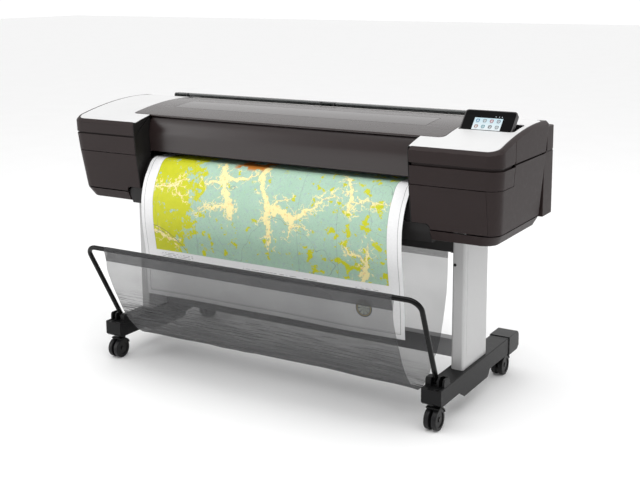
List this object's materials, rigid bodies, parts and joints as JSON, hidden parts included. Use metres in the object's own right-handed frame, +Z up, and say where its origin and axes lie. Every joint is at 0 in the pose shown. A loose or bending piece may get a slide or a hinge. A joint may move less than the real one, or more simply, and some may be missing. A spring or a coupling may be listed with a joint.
{
  "type": "large format plotter",
  "caption": "Wide roll-fed inkjet plotter on a T-leg stand with casters, twin end housings, hinged lid, tilting touch panel and a fabric catch basket.",
  "frame": {"origin": "on the floor, at the middle of the bounding box", "axes": "+X to the right seen from the operator at the front, -Y towards the operator, +Z up"},
  "size_m": [1.802, 0.83, 1.0458],
  "materials": {
    "body_brown": "satin moulded warm dark brown",
    "lid_brown": "semi-gloss dark brown",
    "window": "gloss smoked panel",
    "white_panel": "satin white",
    "ridge": "light warm grey",
    "smoked": "smoked translucent",
    "black_trim": "matte black",
    "screen_black": "black cover glass",
    "screen_image": "lit display",
    "silver": "silver-grey paint",
    "dark_stand": "dark grey paint",
    "caster_black": "black moulded",
    "tube_black": "gloss black paint",
    "mesh": "grey woven mesh",
    "steel": "bright steel",
    "zinc_plate": "galvanised sheet",
    "rubber": "matte rubber",
    "paper": "coated paper with a printed map",
    "paper_roll": "coated paper roll",
    "ink": "black moulded with colour label",
    "belt": "toothed belt"
  },
  "bodies": {
    "frame": {"basket_fabric": "mesh", "basket_rear_rod": "tube_black", "carriage_beam": "zinc_plate", "carriage_drive": "steel", "cartridge_bays": "black_trim", "chassis_frame": "zinc_plate", "chins": "body_brown", "column_fronts": "silver", "column_screws": "black_trim", "columns": "silver", "cover_hinges": "steel", "drive_belt": "belt", "feet": "dark_stand", "foot_caps": "dark_stand", "front_cover": "body_brown", "guide_rails": "steel", "ink_cartridges": "ink", "inner_cheeks": "body_brown", "lower_apron": "body_brown", "lower_shells": "body_brown", "mid_bands": "body_brown", "output_guide": "black_trim", "paper_web": "paper", "platen": "black_trim", "rear_beam": "zinc_plate", "rear_connectors": "black_trim", "rear_ends": "body_brown", "rear_panel": "zinc_plate", "ridge_strip": "ridge", "roll_cover_brackets": "black_trim", "screen_pocket": "black_trim", "service_station": "black_trim", "stand_crossbeam": "dark_stand", "stand_top_bar": "dark_stand", "top_panels": "white_panel", "top_shells": "body_brown"},
    "basket": {"basket_frame": "tube_black"},
    "lid": {"lid": "lid_brown", "lid_window": "window"},
    "roll_cover": {"roll_cover": "smoked"},
    "touch_panel": {"screen_case": "body_brown", "screen_glass": "screen_black", "screen_display": "screen_image"},
    "door_right": {"ink_door_right": "body_brown"},
    "door_left": {"ink_door_left": "body_brown"},
    "print_carriage": {"carriage": "black_trim", "printheads": "black_trim"},
    "cutter_head": {"cutter": "black_trim"},
    "feed": {"feed_roller": "rubber"},
    "pinch": {"pinch_rollers": "steel"},
    "media_spindle": {"spindle": "steel", "media_roll": "paper_roll"},
    "fork_front_left": {"caster_fork_front_left": "caster_black"},
    "wheels_front_left": {"caster_wheels_front_left": "caster_black"},
    "fork_front_right": {"caster_fork_front_right": "caster_black"},
    "wheels_front_right": {"caster_wheels_front_right": "caster_black"},
    "fork_rear_left": {"caster_fork_rear_left": "caster_black"},
    "wheels_rear_left": {"caster_wheels_rear_left": "caster_black"},
    "fork_rear_right": {"caster_fork_rear_right": "caster_black"},
    "wheels_rear_right": {"caster_wheels_rear_right": "caster_black"}
  },
  "joints": [
    {"name": "swivel_front_left", "type": "hinge", "parent": "frame", "child": "fork_front_left", "pos_m": [-0.691, -0.24, 0.09], "axis": [0, 0, 1], "continuous": true},
    {"name": "wheel_front_left", "type": "hinge", "parent": "fork_front_left", "child": "wheels_front_left", "pos_m": [-0.691, -0.262, 0.0375], "axis": [1, 0, 0], "continuous": true},
    {"name": "swivel_front_right", "type": "hinge", "parent": "frame", "child": "fork_front_right", "pos_m": [0.691, -0.24, 0.09], "axis": [0, 0, 1], "continuous": true},
    {"name": "wheel_front_right", "type": "hinge", "parent": "fork_front_right", "child": "wheels_front_right", "pos_m": [0.691, -0.262, 0.0375], "axis": [1, 0, 0], "continuous": true},
    {"name": "swivel_rear_left", "type": "hinge", "parent": "frame", "child": "fork_rear_left", "pos_m": [-0.691, 0.35, 0.09], "axis": [0, 0, 1], "continuous": true},
    {"name": "wheel_rear_left", "type": "hinge", "parent": "fork_rear_left", "child": "wheels_rear_left", "pos_m": [-0.691, 0.328, 0.0375], "axis": [1, 0, 0], "continuous": true},
    {"name": "swivel_rear_right", "type": "hinge", "parent": "frame", "child": "fork_rear_right", "pos_m": [0.691, 0.35, 0.09], "axis": [0, 0, 1], "continuous": true},
    {"name": "wheel_rear_right", "type": "hinge", "parent": "fork_rear_right", "child": "wheels_rear_right", "pos_m": [0.691, 0.328, 0.0375], "axis": [1, 0, 0], "continuous": true},
    {"name": "basket_fold", "type": "hinge", "parent": "frame", "child": "basket", "pos_m": [0, -0.239, 0.16], "axis": [1, 0, 0], "range_deg": [-20, 0], "deforming": ["basket_fabric"]},
    {"name": "lid_open", "type": "hinge", "parent": "frame", "child": "lid", "pos_m": [0, 0.17, 0.991], "axis": [-1, 0, 0], "range_deg": [0, 65]},
    {"name": "roll_cover_open", "type": "hinge", "parent": "frame", "child": "roll_cover", "pos_m": [0, 0.216, 1.002], "axis": [1, 0, 0], "range_deg": [0, 60]},
    {"name": "panel_tilt", "type": "hinge", "parent": "frame", "child": "touch_panel", "pos_m": [0.764, -0.03917, 0.97557], "axis": [1, 0, 0], "range_deg": [-38, 28]},
    {"name": "ink_door_right_open", "type": "hinge", "parent": "frame", "child": "door_right", "pos_m": [0.717, -0.214, 0.6765], "axis": [1, 0, 0], "range_deg": [0, 70]},
    {"name": "ink_door_left_open", "type": "hinge", "parent": "frame", "child": "door_left", "pos_m": [-0.717, -0.214, 0.6765], "axis": [1, 0, 0], "range_deg": [0, 70]},
    {"name": "carriage_slide", "type": "slide", "parent": "frame", "child": "print_carriage", "axis": [-1, 0, 0], "range_m": [0, 1.31]},
    {"name": "cutter_slide", "type": "slide", "parent": "frame", "child": "cutter_head", "axis": [-1, 0, 0], "range_m": [0, 1.17]},
    {"name": "feed_turn", "type": "hinge", "parent": "frame", "child": "feed", "pos_m": [0, 0.045, 0.7867], "axis": [1, 0, 0], "continuous": true},
    {"name": "pinch_turn", "type": "hinge", "parent": "frame", "child": "pinch", "pos_m": [0, 0.045, 0.8117], "axis": [1, 0, 0], "continuous": true},
    {"name": "spindle_turn", "type": "hinge", "parent": "frame", "child": "media_spindle", "pos_m": [0, 0.24, 0.88], "axis": [1, 0, 0], "continuous": true}
  ],
  "couplings": [
    {"joint": "pinch_turn", "follows": "feed_turn", "ratio": -3}
  ]
}
